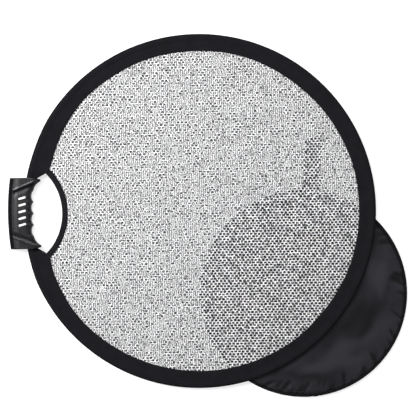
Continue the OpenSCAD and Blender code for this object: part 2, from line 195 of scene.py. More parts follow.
def noise_tex(nodes, links, vector, scale, detail=3.0, rough=0.55):
    tex = nodes.new("ShaderNodeTexNoise")
    tex.inputs["Scale"].default_value = scale
    tex.inputs["Detail"].default_value = detail
    tex.inputs["Roughness"].default_value = rough
    links.new(vector, tex.inputs["Vector"])
    return tex.outputs["Fac"]


def ramp(nodes, links, fac, stops):
    """A colour ramp from (place, colour) stops."""
    node = nodes.new("ShaderNodeValToRGB")
    elements = node.color_ramp.elements
    while len(elements) < len(stops):
        elements.new(0.5)
    for element, (place, colour) in zip(elements, stops):
        element.position = place
        element.color = (*colour, 1)
    links.new(fac, node.inputs["Fac"])
    return node.outputs["Color"]


def mathn(nodes, links, kind, a, b=None):
    """A math node over numbers or sockets."""
    node = nodes.new("ShaderNodeMath")
    node.operation = kind
    for socket, value in zip(node.inputs, (a, b)):
        if isinstance(value, (int, float)):
            socket.default_value = value
        elif value is not None:
            links.new(value, socket)
    return node.outputs[0]


def add_share(nodes, links, base, extra, share):
    """The base plus a share of something extra."""
    return mathn(nodes, links, "ADD", base, mathn(nodes, links, "MULTIPLY", extra, share))


def set_roughness(nodes, links, shader, fac, low, high):
    """Roughness that follows a noise."""
    links.new(ramp(nodes, links, fac, [(0.3, (low,) * 3), (0.7, (high,) * 3)]), shader.inputs["Roughness"])


def weave(nodes, links, pitch, turn):
    """Height of a plain weave: crossing threads of the given pitch in metres."""
    vector = coords(nodes, links, turn=turn)
    split = nodes.new("ShaderNodeSeparateXYZ")
    links.new(vector, split.inputs[0])
    step = math.pi / pitch
    warp = mathn(nodes, links, "SINE", mathn(nodes, links, "MULTIPLY", split.outputs["X"], step))
    weft = mathn(nodes, links, "SINE", mathn(nodes, links, "MULTIPLY", split.outputs["Y"], step))
    return mathn(nodes, links, "MULTIPLY", warp, weft)


def bump(nodes, links, shader, height, strength, distance):
    node = nodes.new("ShaderNodeBump")
    node.inputs["Strength"].default_value = strength
    node.inputs["Distance"].default_value = distance
    links.new(height, node.inputs["Height"])
    links.new(node.outputs["Normal"], shader.inputs["Normal"])


def cloth_material(name, dark, light, pitch, rough=0.85, sheen=0.25, turn=0.0, relief=0.35, shine=0.2):
    """Woven cloth: colour mottling, a thread pattern in the colour and bump, and some sheen."""
    mat, nodes, links, shader = new_material(name)
    big = noise_tex(nodes, links, coords(nodes, links), 45, 4)
    threads = weave(nodes, links, pitch, turn)
    mixed = add_share(nodes, links, big, threads, 0.09)
    links.new(ramp(nodes, links, mixed, [(0.3, dark), (0.7, light)]), shader.inputs["Base Color"])
    fine = noise_tex(nodes, links, coords(nodes, links), 900, 2)
    set_roughness(nodes, links, shader, fine, rough - 0.08, min(rough + 0.08, 1))
    shader.inputs["Sheen Weight"].default_value = sheen
    shader.inputs["Sheen Roughness"].default_value = 0.5
    shader.inputs["Specular IOR Level"].default_value = shine
    bump(nodes, links, shader, add_share(nodes, links, threads, fine, 0.8), relief, 0.12 * MM)
    return mat


def attribute(nodes, name):
    """A mesh attribute's value."""
    node = nodes.new("ShaderNodeAttribute")
    node.attribute_name = name
    return node.outputs["Fac"]


def satin_material():
    """Black satin nylon with painted shade: darker cloth in the folds' low places and paler on their ridges
    (on the flat lower panel the same value is random tone), with a fine twill and faint creasing.
    """
    mat, nodes, links, shader = new_material("satin_nylon")
    big = noise_tex(nodes, links, coords(nodes, links), 26, 5, 0.6)
    twill = weave(nodes, links, 0.5 * MM, 0.78)
    # Painted shade: the fold value darkens the cloth in low places and lightens the ridges.
    mixed = mathn(nodes, links, "MULTIPLY", attribute(nodes, "fold"), 0.75)
    mixed = add_share(nodes, links, mixed, big, 0.25)
    mixed = add_share(nodes, links, mixed, twill, 0.02)
    links.new(ramp(nodes, links, mixed, [(0.12, (0.0015, 0.0015, 0.002)), (0.45, (0.009, 0.0087, 0.0115)),
                                         (0.85, (0.024, 0.0235, 0.029))]), shader.inputs["Base Color"])
    fine = noise_tex(nodes, links, coords(nodes, links), 260, 5, 0.65)
    set_roughness(nodes, links, shader, fine, 0.34, 0.46)
    shader.inputs["Specular IOR Level"].default_value = 0.22
    shader.inputs["Sheen Weight"].default_value = 0.01
    shader.inputs["Sheen Roughness"].default_value = 0.4
    bump(nodes, links, shader, add_share(nodes, links, fine, twill, 0.25), 0.35, 0.25 * MM)
    return mat


def net_material():
    """Metallised knit: strips painted with reflections, light and dark at random as if crumpled, and round
    each hole a ring of painted shade whose darkness is set cell by cell.
    """
    mat, nodes, links, shader = new_material("silver_knit")
    vector = coords(nodes, links)
    tone = noise_tex(nodes, links, vector, 520, 2)
    patch = noise_tex(nodes, links, vector, 30, 3)
    # Painted reflections: each strip's colour, from dark grey to white, follows the glint of its points and
    # noise, standing in for crumpled foil catching light.
    strip = mathn(nodes, links, "MULTIPLY", attribute(nodes, "glint"), 0.3)
    strip = add_share(nodes, links, strip, tone, 0.5)
    strip = add_share(nodes, links, strip, patch, 0.06)
    painted_strip_glints = ramp(nodes, links, strip, [(0.27, (0.1, 0.1, 0.102)), (0.35, (0.72, 0.72, 0.73)),
                                        (0.42, (1.0, 1.0, 1.0))])
    # Painted shade round each hole, from nearly black to mid grey by each cell's value; nearly black for the
    # nearly shut cells.
    painted_hole_shade = ramp(nodes, links, attribute(nodes, "painted_hole_shade"),
                  [(0.0, (0.003, 0.003, 0.004)), (0.2, (0.008, 0.008, 0.01)),
                   (0.27, (0.012, 0.012, 0.013)), (0.95, (0.11, 0.11, 0.114))])
    # The painted shade covers the inner part of each ring, up to the hole.
    by_hole = ramp(nodes, links, attribute(nodes, "inward"), [(0.19, (0, 0, 0)), (0.46, (1, 1, 1))])
    mix = nodes.new("ShaderNodeMix")
    mix.data_type = "RGBA"
    links.new(by_hole, mix.inputs[0])
    links.new(painted_strip_glints, mix.inputs[6])
    links.new(painted_hole_shade, mix.inputs[7])
    links.new(mix.outputs[2], shader.inputs["Base Color"])
    shader.inputs["Metallic"].default_value = 0.4
    set_roughness(nodes, links, shader, tone, 0.4, 0.6)
    threads = weave(nodes, links, 0.7 * MM, 0.5)
    bump(nodes, links, shader, mathn(nodes, links, "ADD", threads, tone), 0.5, 0.18 * MM)
    return mat


def plastic_material(name, dark, light, rough, grain=0.06):
    """Moulded plastic with fine grain, faint mottling and slight unevenness of gloss."""
    mat, nodes, links, shader = new_material(name)
    vector = coords(nodes, links)
    big = noise_tex(nodes, links, vector, 38, 4)
    links.new(ramp(nodes, links, big, [(0.3, dark), (0.7, light)]), shader.inputs["Base Color"])
    gloss = noise_tex(nodes, links, vector, 90, 5, 0.6)
    set_roughness(nodes, links, shader, gloss, rough - 0.05, rough + 0.07)
    fine = noise_tex(nodes, links, vector, 1300, 2)
    bump(nodes, links, shader, fine, grain, 0.08 * MM)
    return mat


def grip_material():
    """Glossy moulded plastic whose spine is a matte strip that reflects little and looks darker; painted
    shade turns the reflection down below the collars' creases and along the finger side.
    """
    mat = plastic_material("grip_moulding", (0.003, 0.003, 0.004), (0.0065, 0.0064, 0.0085), 0.3, 0.05)
    nodes, links = mat.node_tree.nodes, mat.node_tree.links
    shader = nodes["Principled BSDF"]
    strip = attribute(nodes, "body")
    shine = ramp(nodes, links, strip, [(0.45, (0.02, 0.02, 0.02)), (0.55, (0.5, 0.5, 0.5))])
    # Painted shade: where the crease value is high, the reflection is turned right down.
    clear = ramp(nodes, links, attribute(nodes, "crease"), [(0.0, (1, 1, 1)), (1.0, (0.02, 0.02, 0.02))])
    links.new(mathn(nodes, links, "MULTIPLY", shine, clear), shader.inputs["Specular IOR Level"])
    gloss = shader.inputs["Roughness"].links[0].from_socket
    matt = ramp(nodes, links, strip, [(0.45, (0.35,) * 3), (0.55, (0, 0, 0))])
    links.new(mathn(nodes, links, "ADD", gloss, matt), shader.inputs["Roughness"])
    return mat


def metal_material(name, colour, rough):
    """Drawn or plated metal with streaks along X and fine pitting."""
    mat, nodes, links, shader = new_material(name)
    streaks = noise_tex(nodes, links, coords(nodes, links, (40, 900, 900)), 1, 3)
    dark = tuple(c * 0.75 for c in colour)
    links.new(ramp(nodes, links, streaks, [(0.3, dark), (0.7, colour)]), shader.inputs["Base Color"])
    shader.inputs["Metallic"].default_value = 1
    set_roughness(nodes, links, shader, streaks, rough, rough + 0.15)
    bump(nodes, links, shader, streaks, 0.15, 0.05 * MM)
    return mat


# ---- mesh helpers


def make_piece(name, points, faces, material, smooth=True):
    """A mesh piece in the row frame, with its faces turned outwards."""
    mesh = bpy.data.meshes.new(name)
    mesh.from_pydata([tuple(p) for p in np.asarray(points, float)], [],
                     [tuple(int(i) for i in face) for face in faces])
    mesh.update()
    build = bmesh.new()
    build.from_mesh(mesh)
    bmesh.ops.recalc_face_normals(build, faces=build.faces)
    build.to_mesh(mesh)
    build.free()
    mesh.polygons.foreach_set("use_smooth", [smooth] * len(mesh.polygons))
    mesh.materials.append(material)
    piece = bpy.data.objects.new(name, mesh)
    bpy.context.scene.collection.objects.link(piece)
    return piece


def set_shades(piece, name, values, where="POINT"):
    """A number for each point or face, which the piece's material reads by name."""
    piece.data.attributes.new(name, "FLOAT", where).data.foreach_set("value", values)


def grid_faces(rows, columns, close_rows=False, close_columns=False, first=0):
    """Quads over a grid of points that are stored row by row."""
    i = np.arange(rows if close_rows else rows - 1)[:, None]
    j = np.arange(columns if close_columns else columns - 1)[None, :]
    i2, j2 = (i + 1) % rows, (j + 1) % columns
    quads = np.stack([i * columns + j, i2 * columns + j, i2 * columns + j2, i * columns + j2], -1)
    return (quads.reshape(-1, 4) + first).tolist()


def sweep(sections, closed_path):
    """Points and faces of closed sections, one row of points for each, joined along a path."""
    sections = np.asarray(sections, float)
    rows, columns = sections.shape[:2]
    faces = grid_faces(rows, columns, closed_path, True)
    if not closed_path:
        faces.append(list(range(columns)))
        faces.append([(rows - 1) * columns + k for k in reversed(range(columns))])
    return sections.reshape(-1, 3), faces


def around(centre, radius, angle, z):
    """Points at a radius and an angle in degrees around a centre, at a height."""
    a = np.radians(angle)
    return np.stack(np.broadcast_arrays(centre.x + radius * np.cos(a), centre.y + radius * np.sin(a), z), -1)


def ring_piece(name, centre, section, from_a, to_a, material, steps=360, ripple=None):
    """A closed section of (radius, height) points turned around a centre, whole or from angle to angle."""
    closed = to_a - from_a >= 360
    angles = np.linspace(from_a, to_a, steps, endpoint=not closed)
    section = np.asarray(section, float)
    radius = np.broadcast_to(section[:, 0], (steps, len(section))).copy()
    height = np.broadcast_to(section[:, 1], (steps, len(section))).copy()
    if ripple:
        radius, height = ripple(angles, radius, height)
    points, faces = sweep(around(centre, radius, angles[:, None], height), closed)
    return make_piece(name, points, faces, material)


def oval(centre_r, centre_z, half_w, half_h, count=10, power=2.0):
    """A closed rounded section around a point."""
    t = np.linspace(0, 2 * math.pi, count, endpoint=False)
    c, s = np.cos(t), np.sin(t)
    return np.stack([centre_r + half_w * np.sign(c) * np.abs(c) ** (2 / power),
                     centre_z + half_h * np.sign(s) * np.abs(s) ** (2 / power)], 1)


def stitch_solids(places, directions, ups, length, width, height):
    """One small rounded thread for each place: points and faces of them all."""
    places, directions, ups = (np.asarray(v, float) for v in (places, directions, ups))
    sides = np.cross(ups, directions)
    along = np.array([-0.5, -0.28, 0.28, 0.5]) * length
    swell = np.array([0.45, 1, 1, 0.45])
    across = np.array([-0.5, -0.3, 0.3, 0.5]) * width
    rise = np.array([-0.15, 0.85, 0.85, -0.15]) * height
    points = (places[:, None, None, :]
              + directions[:, None, None, :] * along[None, :, None, None]
              + sides[:, None, None, :] * (across[None, None, :, None] * swell[None, :, None, None])
              + ups[:, None, None, :] * (rise[None, None, :, None] * swell[None, :, None, None]))
    one = grid_faces(4, 4, False, True) + [[0, 1, 2, 3], [15, 14, 13, 12]]
    faces = [[k + 16 * n for k in face] for n in range(len(places)) for face in one]
    return points.reshape(-1, 3), faces


def ring_stitches(name, centre, radius, z, from_a, to_a, pitch, material, up=1, length=2.9, width=0.75):
    """A row of slightly uneven lockstitches around a centre, from angle to angle."""
    rng = np.random.default_rng(SEED)
    count = int(math.radians(to_a - from_a) * radius / pitch)
    angles = np.linspace(from_a, to_a, count, endpoint=False)
    uneven = 0.06 * pitch / radius * 57.3  # along the row, in degrees
    angles = angles + rng.normal(0, uneven, count)
    places = around(centre, radius + rng.normal(0, 0.08 * MM, count), angles, z)
    turn = np.radians(angles + 90) + rng.normal(0, 0.05, count)
    directions = np.stack([np.cos(turn), np.sin(turn), np.zeros(count)], 1)
    ups = np.tile([0, 0, float(up)], (count, 1))
    points, faces = stitch_solids(places, directions, ups, length * MM, width * MM, 0.55 * MM)
    return make_piece(name, points, faces, material)


def smooth_step(x, low, high):
    """0 below low, 1 above high, and smooth in between."""
    t = np.clip((x - low) / (high - low), 0, 1)
    return t * t * (3 - 2 * t)


def noise_at(x, y, z=0.0):
    """Smooth noise from -1 to 1 over arrays of places."""
    x, y, z = np.broadcast_arrays(x, y, z)
    flat = [noise.noise(Vector(p)) for p in zip(x.ravel(), y.ravel(), z.ravel())]
    return np.array(flat).reshape(x.shape)


def bend(piece):
    """Bakes the piece's placement into its points; it does no bending."""
    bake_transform(piece)
    return piece


def ease_in(piece):
    """Shifts the rim towards the disc where it runs into the grip, fading out sooner below than above."""
    co = np.array([v.co for v in piece.data.vertices])
    off = np.degrees(np.arctan2(co[:, 1] - DISC.y, DISC.x - co[:, 0]))
    co[:, 0] += EASE * np.where(off > 0, 1 - smooth_step(off, 18, 34), 1 - smooth_step(-off, 10, 25))
    piece.data.vertices.foreach_set("co", co.ravel())
    return piece


# ---- disc


def open_radius(angle):
    """Radius of the visible net's edge in a direction, in degrees from +X around the disc."""
    c = np.cos(np.radians(angle + 180))
    return np.minimum(OPEN_R, -WIDE_X * c + np.sqrt((WIDE_X * c) ** 2 - WIDE_X ** 2 + WIDE_R ** 2))


def slant_radius(angle):
    """Radius of the hand hole's short edge in a direction near the grip."""
    a = np.radians(angle)
    return (TIP_Y - SLANT * (TIP_X - EASE)) / (np.abs(np.sin(a)) - SLANT * np.cos(a))


def band_profile(inner, steps=15):
    """Radii from the inner edge out to the cord, and the cloth's outer height above the middle plane."""
    flat = NET_HALF + CLOTH_T
    t = np.linspace(0, 1, steps)
    radius = inner[:, None] + (CLOTH_R - inner[:, None]) * t ** 0.9
    rise = smooth_step(radius, WIRE_R - 10 * MM, WIRE_R - 3.4 * MM)
    fall = smooth_step(radius, WIRE_R + 1.6 * MM, CLOTH_R + 0.4 * MM)
    height = flat + (RIM_TOP - flat) * rise
    return radius, height + (0.9 * MM - RIM_TOP) * fall


def band_angles(steps=900):
    """Angles around the disc that the band covers, from the grip's lower end round to its upper end."""
    start = math.degrees(math.asin(SLOT_Y / CLOTH_R))
    return np.linspace(-180 + start, 180 - start, steps)


def build_band(name, side, material):
    """One face of the rim band, over the hoop and in to the net, puckered along its stitches."""
    angles = band_angles()
    tip = math.degrees(math.atan2(TIP_Y, EASE - TIP_X))
    from_grip = 180 - np.abs(angles)
    inner = np.where(from_grip < tip, slant_radius(180 - from_grip), open_radius(angles))
    wave = noise_at(np.cos(np.radians(angles)) * 2.2, np.sin(np.radians(angles)) * 2.2, 3.0) * 2.2 * MM
    uneven = smooth_step(from_grip, tip, tip + 8) * (1 - smooth_step(from_grip, 34, 50))
    inner = inner + np.where(angles > 0, -0.6 * MM, 2.4 * MM) * uneven
    inner = np.minimum(inner + wave * smooth_step(from_grip, 22, 40), CLOTH_R - 3 * MM)
    radius, height = band_profile(inner)
    x = DISC.x + radius * np.cos(np.radians(angles))[:, None]
    y = DISC.y + radius * np.sin(np.radians(angles))[:, None]
    pucker = noise_at(x * 160, y * 160, side * 3.0) * 0.16 * MM
    soft = noise_at(x * 28, y * 28, side * 5.0) * 0.22 * MM
    height = height + (pucker + soft) * smooth_step(radius, inner[:, None], inner[:, None] + 5 * MM)
    height = np.clip(height, None, RIM_TOP)
    under = np.maximum(height - CLOTH_T, 0.06 * MM)
    top = np.stack([x, y, DISC.z + side * height], -1)
    low = np.stack([x, y, DISC.z + side * under], -1)[:, ::-1]
    points, faces = sweep(np.concatenate([top, low], 1), False)
    piece = bend(ease_in(make_piece(name, points, faces, material)))
    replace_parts(piece, f"rim_band_{'front' if side > 0 else 'back'}")


def build_edge_cord(material):
    """The bound cord around the edge, its binding pulled in a little at each stitch."""
    start = math.degrees(math.asin(SLOT_Y / DISC_R))
    middle = DISC_R - CORD_R
    pitch = 4 * MM

    def ripple(angles, radius, height):
        stitch = np.radians(angles) * DISC_R / pitch * 2 * math.pi
        pull = 1 - 0.07 * (0.5 + 0.5 * np.cos(stitch))[:, None] ** 4
        return middle + (radius - middle) * pull, DISC.z + (height - DISC.z) * pull

    section = oval(middle, DISC.z, CORD_R, CORD_R, 10)
    piece = ring_piece("edge_cord", DISC, section, -180 + start, 180 - start, material,
                       1500, ripple)
    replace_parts(bend(ease_in(piece)), "rim_edge_cord")


def build_hoop(material):
    """The flat spring wire, hidden in the rim."""
    section = oval(WIRE_R, DISC.z, WIRE_HALF_W, WIRE_HALF_H, 12, 6)
    piece = ring_piece("hoop_wire", DISC, section, 0.05, 359.95, material, 360)
    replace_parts(bend(ease_in(piece)), "spring_hoop")


def build_rim_stitches(material):
    """Both rows of stitches on both faces of the rim."""
    for side, face in ((1, "front"), (-1, "back")):
        for row, radius in (("inner", OPEN_R + 4 * MM), ("hoop", WIRE_R - 12 * MM)):
            start = math.degrees(math.asin((SLOT_Y if row == "hoop" else TIP_Y + 12 * MM) / radius))
            z = DISC.z + side * (NET_HALF + CLOTH_T)
            piece = ring_stitches(f"{row}_stitches_{face}", DISC, radius, z, -180 + start, 180 - start,
                                  4.2 * MM, material, side)
            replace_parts(bend(ease_in(piece)), f"{row}_seam_{face}")


def knit(inside, rng):
    """A staggered knit: each cell is a ring of faces round an oval hole.

    Gives the points and faces, the shades of each point, each face's value for the painted shade round its
    hole, and the holes' area.
    """
    corners = [(1, 0), (1, 1), (0, 1), (-1, 1), (-1, 0), (-1, -1), (0, -1), (1, -1)]
    turns = np.arange(8) * math.pi / 4
    rows = int(DISC_R / CELL_H) + 2
    columns = int(DISC_R / CELL_W) + 2
    points, faces, inward, glint, painted_hole_shade = [], [], [], [], []
    shared = {}  # number of each point that cells have in common, by place
    open_area = 0.0
    for j in range(-rows, rows + 1):
        for i in range(-columns, columns + 1):
            x, y = (i + (j % 2) / 2) * CELL_W, j * CELL_H
            if not inside(x, y):
                continue
            rim = []
            for dx, dy in corners:
                key = (2 * i + (j % 2) + dx, 2 * j + dy)
                if key not in shared:
                    shift = rng.normal(0, 0.6 * MM, 2)
                    shared[key] = len(points)
                    points.append((key[0] * CELL_W / 2 + shift[0], key[1] * CELL_H / 2 + shift[1],
                                   rng.normal(0.22 * MM, 0.22 * MM)))
                    inward.append(0.0)
                    glint.append(rng.random())
                rim.append(shared[key])
            # The cell's value sets its painted shade; cells below 0.3 are nearly shut and read as dark dots
            # of that shade.
            shade = rng.random()
            closed = shade < 0.3
            grow = rng.uniform(0.1, 0.35) if closed else rng.uniform(0.55, 1.1)
            half_x = 2.1 * MM * rng.uniform(0.7, 1.1) * grow
            half_y = 2.6 * MM * grow
            tilt = rng.normal(0.3, 0.4)
            cx, cy = rng.normal(0, 0.85 * MM, 2)
            hole = []
            for t in turns:
                hx, hy = half_x * math.cos(t), half_y * math.sin(t)
                hole.append(len(points))
                points.append((x + cx + hx * math.cos(tilt) - hy * math.sin(tilt),
                               y + cy + hx * math.sin(tilt) + hy * math.cos(tilt),
                               rng.normal(-0.24 * MM, 0.14 * MM)))
                inward.append(1.0)
                glint.append(rng.random())
            open_area += 2.83 * half_x * half_y  # the area of an oval with eight sides
            painted_hole_shade += [shade] * 8
            faces += [[rim[k], rim[(k + 1) % 8], hole[(k + 1) % 8], hole[k]] for k in range(8)]
    return np.array(points), faces, {"inward": inward, "glint": glint}, painted_hole_shade, open_area


def build_net(material):
    """The see-through silver net, tucked a little under the band and the tape."""
    tuck = 4 * MM

    def inside(x, y):
        return (math.hypot(x, y) < OPEN_R + tuck and math.hypot(x - WIDE_X, y) < WIDE_R + tuck
                and math.hypot(x - HOLE_X, y) > HOLE_R + tuck)

    points, faces, shades, painted_hole_shade, open_area = knit(inside, np.random.default_rng(SEED))
    wave = noise_at(points[:, 0] * 9, points[:, 1] * 9) * 0.2 * MM
    points = points + np.array([DISC.x, DISC.y, DISC.z])
    points[:, 2] = np.clip(points[:, 2] + wave, NET_LOW.z, NET_HIGH.z)
    net = bend(make_piece("net_cloth", points, faces, material, smooth=False))
    for name, values in shades.items():
        set_shades(net, name, values)
    set_shades(net, "painted_hole_shade", painted_hole_shade, "FACE")
    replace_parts(net, "silver_net")


def arc_strip(name, side, material):
    """The black tape along the hand hole's curved side, slightly crowned."""
    reach = math.degrees(math.atan2(TIP_Y + 9 * MM, TIP_X + 8 * MM - HOLE_X))
    angles = np.linspace(-reach, reach, 160)
    over = 0.6 * MM  # how far the tape laps over the bound edge
    radius = np.linspace(HOLE_R - over, HOLE_R + TAPE_W, 9)
    crown = np.sin(np.linspace(0, math.pi, 9)) ** 0.6 * 0.35 * MM
    base = NET_HALF + CLOTH_T * 0.55
    a = np.radians(angles)[:, None]
    ripple = noise_at(np.degrees(a) * 0.7, radius[None, :] * 300, side) * 0.12 * MM
    top = around(HOLE, radius[None, :], angles[:, None], DISC.z + side * (base + crown[None, :] + ripple))
    low_side = around(HOLE, radius[None, ::-1], angles[:, None], DISC.z + side * (NET_HALF * 0.9))
    points, faces = sweep(np.concatenate([top, low_side], 1), False)
    piece = make_piece(name, points, faces, material)
    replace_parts(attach(piece, "grip_end"), f"hand_hole_tape_{'front' if side > 0 else 'back'}")


def hole_path(inset):
    """The hand hole's edge from its lower short side, round the curve, to its upper short side."""
    reach = math.atan2(TIP_Y, TIP_X - HOLE_X)
    arc = np.linspace(-reach, reach, 110)
    curve = np.stack([HOLE_X + (HOLE_R - inset) * np.cos(arc), (HOLE_R - inset) * np.sin(arc)], 1)
    run = np.linspace(21 * MM, 1.5 * MM, 12)
    short = np.stack([TIP_X - run, TIP_Y - SLANT * run - inset * 1.14], 1)
    return np.concatenate([short * [1, -1], curve, short[::-1]])


def tube_sections(path, half_w, half_h, z, count=8):
    """Oval sections across a flat path at a height."""
    step = np.gradient(path, axis=0)
    step /= np.linalg.norm(step, axis=1)[:, None]
    side = np.stack([step[:, 1], -step[:, 0]], 1)
    t = np.linspace(0, 2 * math.pi, count, endpoint=False)
    flat = path[:, None, :] + side[:, None, :] * (half_w * np.cos(t))[None, :, None]
    height = np.broadcast_to(z + half_h * np.sin(t), flat.shape[:2])
    return np.concatenate([flat + np.array([DISC.x, DISC.y]), height[..., None]], -1)


def build_hole_edge(material, thread):
    """The hand hole's bound edge, and two rows of stitches on its tape, front and back."""
    points, faces = sweep(tube_sections(hole_path(0.75 * MM), 0.7 * MM, 1.45 * MM, DISC.z), False)
    piece = make_piece("hole_edge_binding", points, faces, material)
    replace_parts(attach(piece, "grip_end"), "hand_hole_binding")
    reach = math.degrees(math.atan2(TIP_Y, TIP_X - HOLE_X))
    for side, face in ((1, "front"), (-1, "back")):
        places, directions = [], []
        for radius in (HOLE_R + 3 * MM, HOLE_R + TAPE_W - 2.2 * MM):
            angles = np.linspace(-reach, reach, int(2 * math.radians(reach) * radius / (3.4 * MM)))
            z = DISC.z + side * (NET_HALF + CLOTH_T * 0.8)
            places.append(around(HOLE, radius, angles, z))
            turn = np.radians(angles + 90)
            directions.append(np.stack([np.cos(turn), np.sin(turn), 0 * turn], 1))
        places, directions = np.concatenate(places), np.concatenate(directions)
        ups = np.tile([0, 0, float(side)], (len(places), 1))
        points, faces = stitch_solids(places, directions, ups, 2.4 * MM, 0.6 * MM, 0.5 * MM)
        stitches = make_piece(f"hole_tape_stitches_{face}", points, faces, thread)
        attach(stitches, "grip_end")


def build_bartacks(thread):
    """Dense zigzag bars over the two tips of the hand hole, on both faces."""
    places, directions, ups = [], [], []
    for face in (-1, 1):
        for side in (-1, 1):
            along = math.radians(60) * side
            line = np.array([math.cos(along), math.sin(along)])
            cross = np.array([-line[1], line[0]])
            middle = np.array([TIP_X + 4 * MM, side * (TIP_Y + 6 * MM)])
            for k, s in enumerate(np.linspace(-5.4, 5.4, 19)):
                way = cross + line * (0.16 if k % 2 else -0.16)
                at = middle + line * s * MM
                places.append((DISC.x + at[0], DISC.y + at[1], DISC.z + face * (NET_HALF + CLOTH_T)))
                directions.append((*(way / np.linalg.norm(way)), 0))
                ups.append((0, 0, face))
    points, faces = stitch_solids(places, directions, ups, 3.2 * MM, 0.62 * MM, 0.45 * MM)
    piece = bend(make_piece("bartack_threads", points, faces, thread))
    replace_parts(piece, "hand_hole_bartacks")


# ---- grip

GRIP_BACK = GRIP_LOW.x - DISC.x  # the back of the grip at its middle
GRIP_END_BACK = GRIP_BACK + 5.5 * MM
HORN_X = GRIP_HIGH.x - DISC.x
GRIP_T = GRIP_HIGH.z - DISC.z
WAIST = 1.9 * MM  # how far the grip's waist lies below its full thickness
END_ROUND = 2.6 * MM  # how far the grip's ends are rounded over
PITCH = 26 * MM  # spacing of the finger grooves
GROOVES = [(38 * MM - DISC_R, PITCH * 0.5, 17.7 * MM), (38 * MM - DISC_R, PITCH * 1.5, 17.7 * MM),
           (55 * MM - DISC_R, PITCH * 1.73, 30 * MM)]


def grip_sides(y):
    """X of the grip's back and of its finger side, from the disc's centre."""
    back = GRIP_BACK + (GRIP_END_BACK - GRIP_BACK) * (y / GRIP_HALF) ** 2
    a = np.abs(y)
    finger = np.minimum(HORN_X, HORN_X - (a - (GRIP_HALF - 4 * MM)) * 3.1)
    for centre_x, centre_y, radius in GROOVES:
        inside = radius ** 2 - (a - centre_y) ** 2
        finger = np.where(inside > 0, np.minimum(finger, centre_x - np.sqrt(np.maximum(inside, 0))), finger)
    for _ in range(2):
        finger[1:-1] = (finger[:-2] + 2 * finger[1:-1] + finger[2:]) / 4
    return back, finger


def past_crease(x, y):
    """How far a place on the grip lies past the slanting crease that starts an end collar."""
    start = GRIP_HALF - 30.3 * MM
    return (np.abs(y) - np.maximum(start, start + (x + DISC_R + 15.5 * MM) * 0.415)) * 0.92


def grip_height(x, y, back, finger):
    """Half thickness of the grip: a sloping, sharp-edged spine, a crowned face and raised end collars."""
    spine, round_w = 11.5 * MM, 10.5 * MM
    d = np.maximum(x - back, 0)
    # up the back: a rounded edge, the sloping spine, then a slow rise
    rise = 0.2 * smooth_step(d, -1.1 * MM, 1.1 * MM) * 2 - 0.2
    slope = np.clip(d / spine, 0, 1) ** 0.85
    left = np.where(d < 1.1 * MM, rise, 0.2) + 0.68 * slope + 0.12 * smooth_step(d, spine, spine + 15 * MM)
    # down to the finger side: a crown
    e = np.clip((finger - x) / round_w, 0, 1)
    right = (1 - (1 - e) ** 2.3) ** 0.48
    # the collars: a dip before each crease and a lip after it, both softer on the upper half
    past = past_crease(x, y)
    upper = smooth_step(y, -MM, MM)
    collar = smooth_step(past, (upper - 2.6) * MM, (2.6 - 1.6 * upper) * MM)
    inward = smooth_step(d, 7 * MM, 15 * MM)
    dip = (1.5 - 0.6 * upper) * MM * np.exp(-((past + (4 - 1.4 * upper) * MM) / ((3 + 4 * upper) * MM)) ** 2)
    dip = dip * (1 - collar) * inward
    lip = 0.5 * MM * np.exp(-((past - (4 - 1.6 * upper) * MM) / (2 * MM)) ** 2) * inward
    thick = GRIP_T - WAIST - 0.1 * MM + collar * (WAIST - 0.5 * MM) * smooth_step(d, 0, 12 * MM) + lip
    fade = 1 - 0.4 * smooth_step(x, 27 * MM - DISC_R, HORN_X)
    from_end = GRIP_HALF - np.abs(y)
    rounded = np.clip(1 - (1 - from_end / END_ROUND) ** 2, 0, 1)
    end = 0.8 + 0.2 * np.sqrt(np.where(from_end < END_ROUND, rounded, 1))
    return np.clip((thick - dip) * left * right * fade * end, 0, GRIP_T)


